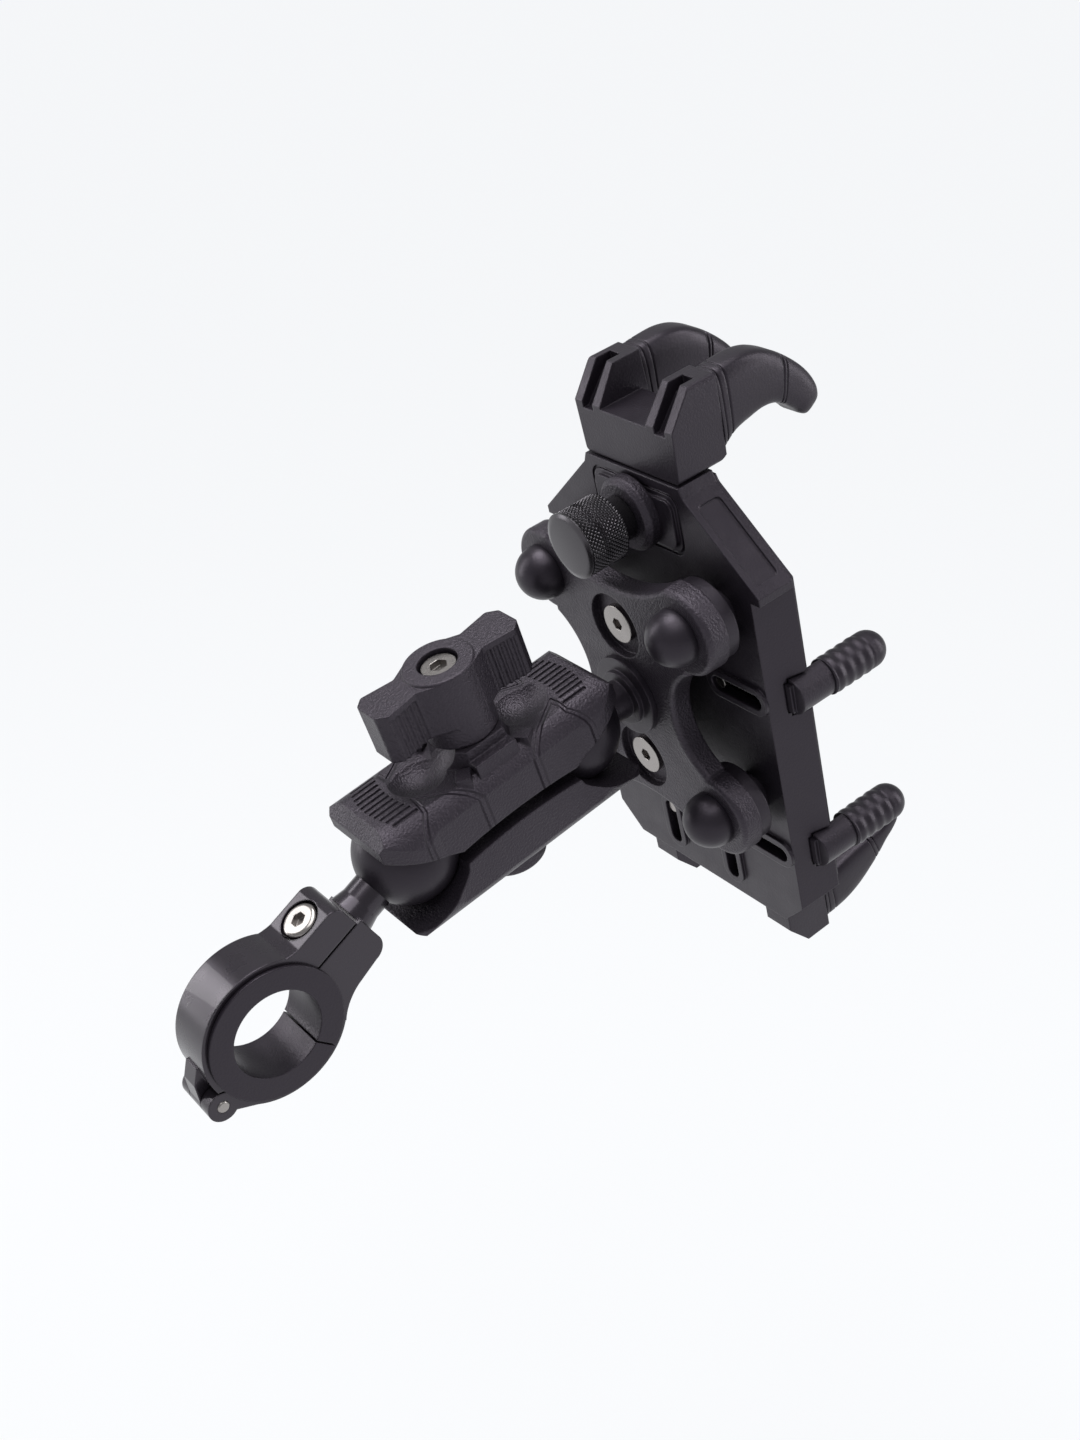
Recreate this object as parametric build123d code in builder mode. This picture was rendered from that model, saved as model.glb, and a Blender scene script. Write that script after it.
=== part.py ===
from build123d import *
import os
from math import cos, sin, pi, radians, sqrt

os.makedirs("parts", exist_ok=True)

# A phone mount for a handlebar: a hinged bar clamp, a double-socket arm on two
# rubber-covered balls, and a spring-centred phone holder carried on rubber
# isolators.  The origin is the centre of the handlebar bore, +X runs along the
# handlebar, +Y points to the phone and +Z is up.  Sizes are in millimetres.

# --- how the three groups stand to each other (degrees above the horizontal) ---
post_tilt = 37.6
arm_tilt = 20.1
holder_tilt = 14.8
post_length = 49.9
ball_spacing = 49.6
stud_length = 20.4

# --- handlebar clamp ---
bar_radius = 11.1
bushing_radius = 15.85
bushing_lip_radius = 17.0
bushing_lip = 1.0
clamp_half_width = 6.5
ring_bore = 15.9
ring_radius = 18.3
hinge_pin_radius = 1.5
knuckle_radius = 3.8
hinge_r = -20.0
hinge_t = -2.6
tongue_half = 2.6
clamp_bolt_r = 22.2
clamp_bolt_radius = 2.5
clamp_head_radius = 4.6
lug_face = 10.9
head_seat = 8.5
lug_end = 29.9
strap_gap = 0.6
split_t = 2.4
post_radius = 5.0

# --- balls and arm ---
ball_radius = 12.7
core_radius = 10.0
running_gap = 0.06
socket_gap = 0.12
shell_half_width = 14.6
shell_height = 16.0
shell_end = 34.5
shell_corner = 8.0
cup_radius = 16.3
scoop_place = 14.6
scoop_rise = 23.4
scoop_radius = 10.6
seat_top = 19.9
knob_base = 20.2
knob_top = 38.9
wing_low = 25.5
wing_high = 38.3
hub_radius = 8.6
wing_tip = 20.4
arm_bolt_radius = 3.0
arm_bolt_head = 37.9
nut_boss_radius = 8.5
nut_boss_depth = 21.0
spring_radius = 5.2
spring_wire = 0.5

# --- vibration plate and its rubber isolators ---
lobe_x = 25.2
lobe_z = 26.6
lobe_radius = 11.0
side_waist = 16.5
top_waist = 31.0
plate_rear = -0.8
plate_thick = 5.7
isolator_ball = 7.0
flange_radius = 10.5
flange_rear = -3.75
recess_depth = 2.2
plate_screw_z = 19.6

# --- phone holder housing ---
housing_rear = 12.3
housing_front = 22.7
cover_thick = 2.0
pad_thick = 1.2
neck_half = 16.9
neck_top = 55.4
shoulder_half = 39.4
shoulder_z = 34.0
body_half = 39.3
rear_half = 36.4
corner_z = -56.5
bottom_half = 29.0
bottom_z = -67.0
wall = 1.9

# --- top jaw ---
jaw_rear = 13.05
jaw_front = 25.6
jaw_bottom = 55.8
jaw_floor = 68.4
horn_top = 77.4
horn_outer = 17.6
horn_inner = 8.2
claw_x = 13.0
claw_half = 4.6
rail_half = 9.0
rail_rear = 14.5
rail_front = 16.5
rail_bottom = -5.0

# --- side arms ---
arm_travel = 12.6
slot_upper_z = 3.9
slot_lower_z = -42.5
side_post_x = 38.7
side_flat_x = 37.9
side_post_radius = 4.3
sleeve_radius = 4.8
side_post_rear = 18.0
sleeve_rear = 28.0
sleeve_centre = 41.8
carriage_rear = 17.0
carriage_front = 19.6
guide_x = 20.0
guide_radius = 1.6
pinion_z = -19.3
pinion_radius = 6.0
tooth_pitch = pi

# --- bottom feet ---
foot_x = 22.6
foot_half = 4.4
foot_slot_x = 11.5
foot_travel = 9.0
foot_pin_z = -50.0

# --- thumb screw ---
thumb_z = 45.4
thumb_radius = 8.3
thumb_rear = -8.5
knurl_front = 3.2
neck_radius = 5.6
collar_radius = 9.4
collar_rear = 7.6

# --- directions of each group ---
across = Vector(1, 0, 0)


def lean(angle):
    return Vector(0, cos(radians(angle)), sin(radians(angle)))


def rise(angle):
    return Vector(0, -sin(radians(angle)), cos(radians(angle)))


post_dir = lean(post_tilt)
post_up = rise(post_tilt)
arm_dir = lean(arm_tilt)
arm_up = rise(arm_tilt)
front = lean(holder_tilt)
holder_up = rise(holder_tilt)
lower_ball_centre = post_dir * post_length
upper_ball_centre = lower_ball_centre + arm_dir * ball_spacing
arm_centre = lower_ball_centre + arm_dir * (ball_spacing / 2)
holder_centre = upper_ball_centre + front * stud_length
half_spacing = ball_spacing / 2


def clamp_plane(x):
    return Plane(origin=across * x, x_dir=post_dir, z_dir=across)


def clamp_bolt_plane(t):
    return Plane(origin=post_dir * clamp_bolt_r + post_up * t, x_dir=across, z_dir=post_up)


def post_plane(distance):
    return Plane(origin=post_dir * distance, x_dir=across, z_dir=post_dir)


def arm_plane(z):
    return Plane(origin=arm_centre + arm_up * z, x_dir=arm_dir, z_dir=arm_up)


def arm_side(x):
    return Plane(origin=arm_centre + across * x, x_dir=arm_dir, z_dir=across)


def arm_cross(a):
    return Plane(origin=arm_centre + arm_dir * a, x_dir=across * -1, z_dir=arm_dir)


def back_plane(y):
    return Plane(origin=holder_centre + front * y, x_dir=across, z_dir=front * -1)


def side_plane(x):
    return Plane(origin=holder_centre + across * x, x_dir=front, z_dir=across)


def level_plane(z):
    return Plane(origin=holder_centre + holder_up * z, x_dir=across, z_dir=holder_up)


# ============================ handlebar clamp ============================
hinge_point = (hinge_r, hinge_t)
full_width = 2 * clamp_half_width

with BuildPart() as clamp_base:
    with BuildSketch(clamp_plane(-clamp_half_width)):
        Circle(ring_radius)
        with BuildLine():
            Polyline((10, split_t), (31, split_t), (31, -5.4))
            ThreePointArc((31, -5.4), (29.6, -8.2), (26.6, -9.2))
            Line((26.6, -9.2), (19.6, -10.0))
            ThreePointArc((19.6, -10.0), (15.2, -11.6), (11.6, -14.4))
            Line((11.6, -14.4), (10, split_t))
        make_face()
        Circle(ring_bore, mode=Mode.SUBTRACT)
        with Locations((25, split_t + 25)):
            Rectangle(50, 50, mode=Mode.SUBTRACT)
        with Locations((-25, 25 - strap_gap)):
            Rectangle(50, 50, mode=Mode.SUBTRACT)
    extrude(amount=full_width)
    with BuildSketch(clamp_plane(-tongue_half - 0.2)):
        with Locations(hinge_point):
            Circle(knuckle_radius + 0.4)
    extrude(amount=2 * tongue_half + 0.4, mode=Mode.SUBTRACT)
    for face_x in (-clamp_half_width, tongue_half + 0.2):
        with BuildSketch(clamp_plane(face_x)):
            with Locations(hinge_point):
                Circle(knuckle_radius)
            with BuildLine():
                Polyline((hinge_r, hinge_t), (hinge_r + 1.2, hinge_t - knuckle_radius + 0.2), (-15.2, -10.2))
                Line((-15.2, -10.2), (-13, -strap_gap - 2))
                Line((-13, -strap_gap - 2), (hinge_r, hinge_t))
            make_face()
            Circle(ring_bore, mode=Mode.SUBTRACT)
        extrude(amount=clamp_half_width - tongue_half - 0.2)
    with BuildSketch(clamp_plane(-clamp_half_width)):
        with Locations(hinge_point):
            Circle(hinge_pin_radius)
    extrude(amount=full_width, mode=Mode.SUBTRACT)
    with BuildSketch(clamp_bolt_plane(split_t)):
        SlotCenterToCenter(1.6, 2 * clamp_bolt_radius + 0.2, rotation=90)
    extrude(amount=-16, mode=Mode.SUBTRACT)
    with BuildSketch(post_plane(30.4)):
        Circle(5.8)
    with BuildSketch(post_plane(34)):
        Circle(post_radius)
    loft()
    with BuildSketch(post_plane(33)):
        Circle(post_radius)
    extrude(amount=post_length - 33)
    with Locations(lower_ball_centre):
        Sphere(core_radius)

with BuildPart() as clamp_strap:
    with BuildSketch(clamp_plane(-clamp_half_width)):
        Circle(ring_radius)
        with BuildLine():
            Polyline((lug_end, 7.4), (lug_end, split_t + strap_gap), (8, split_t + strap_gap), (8, 16.4))
            ThreePointArc((8, 16.4), (12.4, 12.6), (17.2, lug_face))
            Line((17.2, lug_face), (lug_end - 2.8, lug_face))
            ThreePointArc((lug_end - 2.8, lug_face), (lug_end - 0.7, 9.7), (lug_end, 7.4))
        make_face()
        Circle(ring_bore, mode=Mode.SUBTRACT)
        with Locations((25, split_t + strap_gap - 25)):
            Rectangle(50, 50, mode=Mode.SUBTRACT)
        with Locations((-25, -25)):
            Rectangle(50, 50, mode=Mode.SUBTRACT)
    extrude(amount=full_width)
    for face_x in (-clamp_half_width, tongue_half):
        with BuildSketch(clamp_plane(face_x)):
            with Locations(hinge_point):
                Circle(knuckle_radius + 0.4)
        extrude(amount=clamp_half_width - tongue_half, mode=Mode.SUBTRACT)
    with BuildSketch(clamp_plane(-tongue_half)):
        with Locations(hinge_point):
            Circle(knuckle_radius)
        with BuildLine():
            Polyline(
                (hinge_r - knuckle_radius + 0.1, hinge_t + 0.6),
                (-20.6, 4.4),
                (-17.2, 7.4),
                (-14, 4),
                (-15.2, 0.2),
                (hinge_r, hinge_t),
                close=True,
            )
        make_face()
        Circle(ring_bore, mode=Mode.SUBTRACT)
        with Locations(hinge_point):
            Circle(hinge_pin_radius + 0.05, mode=Mode.SUBTRACT)
    extrude(amount=2 * tongue_half)
    with BuildSketch(clamp_bolt_plane(head_seat)):
        Circle(clamp_head_radius + 0.5)
    extrude(amount=10, mode=Mode.SUBTRACT)
    with BuildSketch(clamp_bolt_plane(0)):
        SlotCenterToCenter(3.2, 2 * clamp_bolt_radius + 0.4, rotation=90)
    extrude(amount=20, mode=Mode.SUBTRACT)

with BuildPart() as hinge_pin:
    with BuildSketch(clamp_plane(-clamp_half_width - 0.3)):
        with Locations(hinge_point):
            Circle(hinge_pin_radius)
    extrude(amount=full_width + 0.6)
    chamfer(hinge_pin.edges().filter_by(GeomType.CIRCLE), 0.3)

with BuildPart() as clamp_bolt:
    with BuildSketch(clamp_bolt_plane(head_seat + 0.05)):
        Circle(clamp_head_radius)
    extrude(amount=2.7)
    fillet(clamp_bolt.faces().sort_by(Axis(origin=(0, 0, 0), direction=post_up))[-1].edges(), 1.2)
    with BuildSketch(clamp_bolt_plane(head_seat + 0.05)):
        Circle(clamp_bolt_radius)
    extrude(amount=-16.2)
    with BuildSketch(clamp_bolt_plane(head_seat + 2.75)):
        RegularPolygon(radius=1.9, side_count=6)
    extrude(amount=-1.8, mode=Mode.SUBTRACT)

with BuildPart() as reducing_bushing:
    with BuildSketch(clamp_plane(-clamp_half_width - 0.1)):
        Circle(bushing_radius)
        Circle(bar_radius, mode=Mode.SUBTRACT)
    extrude(amount=full_width + 0.2)
    for start, grow in ((clamp_half_width + 0.1, bushing_lip), (-clamp_half_width - 0.1, -bushing_lip)):
        with BuildSketch(clamp_plane(start)):
            Circle(bushing_lip_radius)
            Circle(bar_radius, mode=Mode.SUBTRACT)
        extrude(amount=grow)
    with BuildSketch(clamp_plane(-10)):
        with Locations(Location((14 * cos(radians(-70)), 14 * sin(radians(-70)), 0), (0, 0, -70))):
            Rectangle(8, 0.5)
    extrude(amount=20, mode=Mode.SUBTRACT)

# ============================ balls and arm ============================


def ball_cover(centre, stud_dir, hole_radius):
    stud_plane = Plane(origin=centre, x_dir=across, z_dir=stud_dir)
    with BuildPart() as cover:
        with Locations(centre):
            Sphere(ball_radius)
            Sphere(core_radius + running_gap, mode=Mode.SUBTRACT)
        with BuildSketch(stud_plane):
            Circle(hole_radius + running_gap)
        extrude(amount=ball_radius + 2, mode=Mode.SUBTRACT)
    return cover


lower_ball_cover = ball_cover(lower_ball_centre, post_dir * -1, post_radius)
upper_ball_cover = ball_cover(upper_ball_centre, front, post_radius)

ball_centres = (lower_ball_centre, upper_ball_centre)


def shell_plan(plane):
    """Outline of the arm seen along its bolt."""
    with BuildSketch(plane) as outline:
        with Locations((-half_spacing, 0), (half_spacing, 0)):
            Circle(shell_half_width)
        Rectangle(ball_spacing, 2 * shell_half_width - 1.0)
        Rectangle(2 * shell_end, 40, mode=Mode.INTERSECT)
    return outline.sketch


def shell_section(plane, corner):
    """Rounded outline of the arm seen along its length."""
    with BuildSketch(plane) as outline:
        RectangleRounded(2 * shell_half_width, 2 * shell_height, corner)
    return outline.sketch


with BuildPart() as upper_shell:
    with BuildSketch(arm_side(-shell_half_width)):
        with BuildLine():
            rim = ThreePointArc((-17, 1.2), (0, 2.2), (17, 1.2))
            Polyline(
                (17, 1.2),
                (shell_end, 9.4),
                (shell_end, 12.6),
                (31.6, shell_height),
                (21.5, shell_height),
            )
            Polyline(
                (21.5, shell_height),
                (19.6, 15.2),
                (11.5, 14.9),
                (-11.5, 14.9),
                (-19.6, 15.2),
                (-21.5, shell_height),
            )
            Polyline(
                (-21.5, shell_height),
                (-31.6, shell_height),
                (-shell_end, 12.6),
                (-shell_end, 9.4),
                (-17, 1.2),
            )
        make_face()
    extrude(amount=2 * shell_half_width)
    extrude(shell_plan(arm_plane(0)), amount=30, mode=Mode.INTERSECT)
    extrude(shell_section(arm_cross(-40), shell_corner), amount=80, mode=Mode.INTERSECT)
    with BuildSketch(arm_plane(9)):
        RegularPolygon(radius=11.8, side_count=6, rotation=0)
    extrude(amount=seat_top - 9, taper=6)
    for side in (-1, 1):
        with BuildSketch(arm_plane(12)):
            with Locations((0, side * 10.6)):
                Rectangle(11.5, 3.0)
        extrude(amount=5.4)
        for end in (-1, 1):
            with BuildSketch(arm_plane(12)):
                with Locations(Location((end * 8.6, side * 9.8, 0), (0, 0, end * side * -35))):
                    Rectangle(3.6, 4.4)
            extrude(amount=4.2)
    with Locations(*[arm_centre + arm_dir * end * scoop_place + arm_up * scoop_rise for end in (-1, 1)]):
        Sphere(scoop_radius, mode=Mode.SUBTRACT)
    for end in (-1, 1):
        for count in range(-5, 6):
            rib_x = count * 1.85
            drop = shell_corner - sqrt(shell_corner**2 - max(0.0, abs(rib_x) - 6.6) ** 2)
            with BuildSketch(arm_plane(shell_height - drop - 0.55)):
                with Locations((end * (26.6 - 0.02 * rib_x**2), rib_x)):
                    Rectangle(6.8, 0.8)
            extrude(amount=3, mode=Mode.SUBTRACT)
    with Locations(*ball_centres):
        Sphere(ball_radius + socket_gap, mode=Mode.SUBTRACT)
    with BuildSketch(arm_plane(0)):
        Circle(7.5)
    extrude(amount=9, mode=Mode.SUBTRACT)
    with BuildSketch(arm_plane(0)):
        Circle(arm_bolt_radius + 0.35)
    extrude(amount=30, mode=Mode.SUBTRACT)

with BuildPart() as lower_shell:
    with BuildSketch(arm_side(-shell_half_width)):
        with BuildLine():
            ThreePointArc((-17, -2.8), (0, -1.6), (17, -2.8))
            Line((17, -2.8), (17.6, -4.6))
            ThreePointArc((17.6, -4.6), (24.2, -10.2), (shell_end, -12.9))
            Polyline((shell_end, -12.9), (31.4, -shell_height), (-31.4, -shell_height), (-shell_end, -12.9))
            ThreePointArc((-shell_end, -12.9), (-24.2, -10.2), (-17.6, -4.6))
            Line((-17.6, -4.6), (-17, -2.8))
        make_face()
    extrude(amount=2 * shell_half_width)
    extrude(shell_plan(arm_plane(0)), amount=-30, mode=Mode.INTERSECT)
    extrude(shell_section(arm_cross(-40), shell_corner - 1), amount=80, mode=Mode.INTERSECT)
    for end in (-1, 1):
        with BuildSketch(arm_side(0)):
            with Locations((end * (half_spacing + 15), -15)):
                Rectangle(30, 60)
            with Locations((end * half_spacing, 0)):
                Circle(cup_radius, mode=Mode.SUBTRACT)
        extrude(amount=20, both=True, mode=Mode.SUBTRACT)
    with BuildSketch(arm_plane(-10)):
        Circle(nut_boss_radius)
    extrude(amount=10 - nut_boss_depth)
    fillet(lower_shell.faces().sort_by(Axis(origin=(0, 0, 0), direction=arm_up))[0].edges(), 1.0)
    with Locations(*ball_centres):
        Sphere(ball_radius + socket_gap, mode=Mode.SUBTRACT)
    with BuildSketch(arm_plane(-9)):
        Circle(7.5)
    extrude(amount=9, mode=Mode.SUBTRACT)
    with BuildSketch(arm_plane(-30)):
        Circle(arm_bolt_radius + 0.35)
    extrude(amount=30, mode=Mode.SUBTRACT)
    with BuildSketch(arm_plane(-nut_boss_depth)):
        RegularPolygon(radius=5.9, side_count=6)
    extrude(amount=5.2, mode=Mode.SUBTRACT)

with BuildPart() as arm_nut:
    with BuildSketch(arm_plane(-nut_boss_depth + 0.3)):
        RegularPolygon(radius=5.85, side_count=6)
        Circle(arm_bolt_radius + 0.05, mode=Mode.SUBTRACT)
    extrude(amount=4.8)

with BuildPart() as shell_spring:
    with BuildLine() as spring_path:
        Helix(
            pitch=3.2,
            height=16.4,
            radius=spring_radius,
            center=arm_centre - arm_up * 8.4,
            direction=arm_up,
        )
    with BuildSketch(Plane(origin=spring_path.line @ 0, z_dir=spring_path.line % 0)):
        Circle(spring_wire)
    sweep(path=spring_path.line, is_frenet=True)

with BuildPart() as thrust_washer:
    with BuildSketch(arm_plane(seat_top + 0.02)):
        Circle(7.4)
        Circle(arm_bolt_radius + 0.2, mode=Mode.SUBTRACT)
    extrude(amount=knob_base - seat_top - 0.07)

with BuildPart() as wing_knob:
    with BuildSketch(arm_plane(wing_low)):
        for end in (-1, 1):
            with BuildLine():
                Polyline(
                    (end * 2, -8.2),
                    (end * 4.6, -7.4),
                    (end * 9.6, -4.5),
                    (end * (wing_tip - 2.4), -5.9),
                    (end * wing_tip, -3.6),
                    (end * wing_tip, 3.6),
                    (end * (wing_tip - 2.4), 5.9),
                    (end * 9.6, 4.5),
                    (end * 4.6, 7.4),
                    (end * 2, 8.2),
                    close=True,
                )
            make_face()
    extrude(amount=wing_high - wing_low)
    tip_edges = wing_knob.edges().filter_by(Axis(origin=(0, 0, 0), direction=arm_up))
    fillet(tip_edges, 1.2)
    with BuildSketch(arm_plane(knob_base)):
        Circle(hub_radius)
    extrude(amount=knob_top - knob_base)
    fillet(wing_knob.faces().sort_by(Axis(origin=(0, 0, 0), direction=arm_up))[-1].edges(), 0.5)
    for end in (-1, 1):
        for side in (-1, 1):
            for count in range(5):
                groove_a = 10.6 + 1.75 * count
                groove_y = 4.66 + 0.18 * 1.75 * count
                with BuildSketch(arm_plane(wing_low - 1)):
                    with Locations((end * groove_a, side * (groove_y + 0.15))):
                        Circle(0.7)
                extrude(amount=wing_high - wing_low - 0.6, mode=Mode.SUBTRACT)
    with BuildSketch(arm_plane(arm_bolt_head - 2.2)):
        Circle(4.9)
    extrude(amount=10, mode=Mode.SUBTRACT)
    with BuildSketch(arm_plane(0)):
        Circle(arm_bolt_radius + 0.03)
    extrude(amount=40, mode=Mode.SUBTRACT)

with BuildPart() as arm_bolt:
    with BuildSketch(arm_plane(arm_bolt_head - 2.2)):
        Circle(4.2)
    extrude(amount=2.2)
    with BuildSketch(arm_plane(arm_bolt_head - 2.2)):
        Circle(arm_bolt_radius)
    extrude(amount=-(arm_bolt_head - 2.2) - nut_boss_depth + 0.6)
    with BuildSketch(arm_plane(arm_bolt_head)):
        RegularPolygon(radius=2.2, side_count=6)
    extrude(amount=-1.6, mode=Mode.SUBTRACT)

# ============================ vibration plate ============================


def isolator_places():
    return [(x, z) for x in (-lobe_x, lobe_x) for z in (-lobe_z, lobe_z)]


plate_front = plate_rear + plate_thick

with BuildPart() as upper_ball_stud:
    with Locations(upper_ball_centre):
        Sphere(core_radius)
    with BuildSketch(back_plane(flange_rear)):
        Circle(post_radius)
    extrude(amount=stud_length + flange_rear)
    with BuildSketch(back_plane(flange_rear)):
        Circle(flange_radius - 3.3)
    extrude(amount=flange_rear - plate_rear)
    with BuildSketch(back_plane(flange_rear + 1.3)):
        Circle(flange_radius)
    extrude(amount=flange_rear + 1.3 - plate_rear)
    with BuildSketch(back_plane(plate_rear)):
        Circle(5.95)
    extrude(amount=-plate_thick)
    with BuildSketch(back_plane(plate_front)):
        Circle(3.0)
    extrude(amount=-2.7)
    with BuildSketch(back_plane(plate_front + 2.65)):
        Circle(4.4)
    extrude(amount=-0.9)

with BuildPart() as damper_plate:
    with BuildSketch(back_plane(plate_rear)):
        side_arc = ((lobe_x - side_waist) ** 2 + lobe_z**2 - lobe_radius**2) / (
            2 * (lobe_radius + lobe_x - side_waist)
        )
        top_arc = (lobe_x**2 + (lobe_z - top_waist) ** 2 - lobe_radius**2) / (
            2 * (lobe_radius + lobe_z - top_waist)
        )
        Rectangle(2 * lobe_x, 2 * lobe_z)
        with Locations((0, lobe_z), (0, -lobe_z)):
            Rectangle(2 * lobe_x, 2 * lobe_radius)
        with Locations((side_waist + side_arc, 0), (-side_waist - side_arc, 0)):
            Circle(side_arc, mode=Mode.SUBTRACT)
        with Locations((0, top_waist + top_arc), (0, -top_waist - top_arc)):
            Circle(top_arc, mode=Mode.SUBTRACT)
        with Locations(*isolator_places()):
            Circle(lobe_radius)
    extrude(amount=-plate_thick)
    rim_edges = damper_plate.faces().sort_by(Axis(origin=(0, 0, 0), direction=front))[0].edges()
    fillet(rim_edges, 1.4)
    with BuildSketch(back_plane(plate_rear)):
        with Locations(*isolator_places()):
            Circle(5.2)
        Circle(6)
    extrude(amount=-plate_thick, mode=Mode.SUBTRACT)
    with BuildSketch(back_plane(plate_rear)):
        with Locations((0, plate_screw_z), (0, -plate_screw_z)):
            Circle(8.65)
    extrude(amount=-recess_depth, mode=Mode.SUBTRACT)
    with BuildSketch(back_plane(plate_rear)):
        with Locations((0, plate_screw_z), (0, -plate_screw_z)):
            Circle(2.7)
    extrude(amount=-plate_thick, mode=Mode.SUBTRACT)

with BuildPart() as nut_plate:
    with BuildSketch(back_plane(plate_front + 0.02)):
        SlotOverall(52, 13, rotation=90)
        with Locations((0, plate_screw_z), (0, -plate_screw_z)):
            Circle(2.48, mode=Mode.SUBTRACT)
        Circle(3.1, mode=Mode.SUBTRACT)
    extrude(amount=-2.6)

with BuildPart() as plate_screws:
    for end in (-1, 1):
        with BuildSketch(back_plane(plate_rear + recess_depth - 1.5)):
            with Locations((0, end * plate_screw_z)):
                Circle(5.0)
        extrude(amount=-1.5)
        with BuildSketch(back_plane(plate_rear + recess_depth)):
            with Locations((0, end * plate_screw_z)):
                Circle(2.45)
        extrude(amount=-6.0)
        with BuildSketch(back_plane(plate_rear + recess_depth - 1.5)):
            with Locations((0, end * plate_screw_z)):
                RegularPolygon(radius=1.75, side_count=6)
        extrude(amount=-1.6, mode=Mode.SUBTRACT)

with BuildPart() as isolators:
    for place in isolator_places():
        place_point = back_plane(-1.8).from_local_coords((place[0], place[1], 0))
        with Locations(place_point):
            Sphere(isolator_ball)
        with BuildSketch(back_plane(-1.8)):
            with Locations(place):
                Circle(5.15)
        extrude(amount=-(housing_rear + 1.8))
        with BuildSketch(back_plane(plate_front + 0.1)):
            with Locations(place):
                Circle(10.3)
        extrude(amount=-3.4)
    with BuildSketch(back_plane(plate_rear)):
        with Locations(*isolator_places()):
            Circle(7.4)
            Circle(5.15, mode=Mode.SUBTRACT)
    extrude(amount=-plate_thick - 0.1, mode=Mode.SUBTRACT)

# ============================ holder housing ============================


def housing_outline(plane, side_half, inset):
    """Shield outline of the holder; inset moves every edge inwards."""
    with BuildSketch(plane) as outline:
        with BuildLine():
            Polyline(
                (-neck_half, neck_top),
                (neck_half, neck_top),
                (neck_half + 1.2, neck_top - 2.6),
                (side_half, shoulder_z),
                (side_half, corner_z),
                (bottom_half, bottom_z),
                (-bottom_half, bottom_z),
                (-side_half, corner_z),
                (-side_half, shoulder_z),
                (-neck_half - 1.2, neck_top - 2.6),
                close=True,
            )
        make_face()
        if inset:
            offset(amount=-inset, mode=Mode.REPLACE)
    return outline.sketch


side_slots = [(x, z) for x in (-1, 1) for z in (slot_upper_z, slot_lower_z)]

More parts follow.
